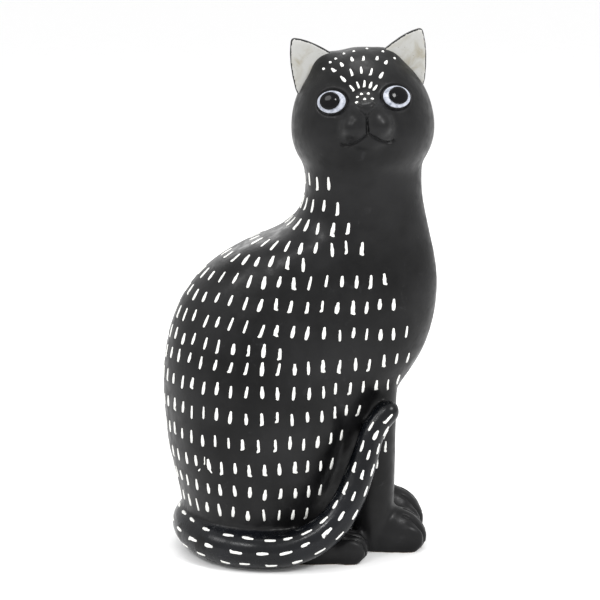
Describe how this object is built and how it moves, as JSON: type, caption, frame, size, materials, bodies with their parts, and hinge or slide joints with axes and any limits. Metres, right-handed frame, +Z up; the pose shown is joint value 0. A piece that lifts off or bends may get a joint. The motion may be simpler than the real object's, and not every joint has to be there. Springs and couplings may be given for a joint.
{
  "type": "cat figurine",
  "caption": "Ceramic figurine of a sitting cat with its head turned and its tail curled round its side, dark with light painted dashes.",
  "frame": {"origin": "on the surface it stands on, under the middle of the bounding box", "axes": "+Z up; +X the way the cat's chest faces; the face is turned to look along -Y; the cat's left flank is on +Y"},
  "size_m": [0.1494, 0.1094, 0.2815],
  "materials": {
    "black_glaze": "satin",
    "cream_glaze": "satin",
    "eye_white": "semi-gloss",
    "pupil_gloss": "gloss",
    "white_slip": "matt",
    "bare_clay": "matt"
  },
  "bodies": {
    "root": {"torso_shell": "black_glaze", "base_slab": "bare_clay", "head_shell": "black_glaze", "nose": "black_glaze", "ear_left": "cream_glaze", "ear_right": "cream_glaze", "eye_left": "eye_white", "eye_right": "eye_white", "pupil_left": "pupil_gloss", "pupil_right": "pupil_gloss", "foreleg_left": "black_glaze", "foreleg_right": "black_glaze", "hind_paw_left": "black_glaze", "hind_paw_right": "black_glaze", "tail": "black_glaze"}
  },
  "joints": []
}
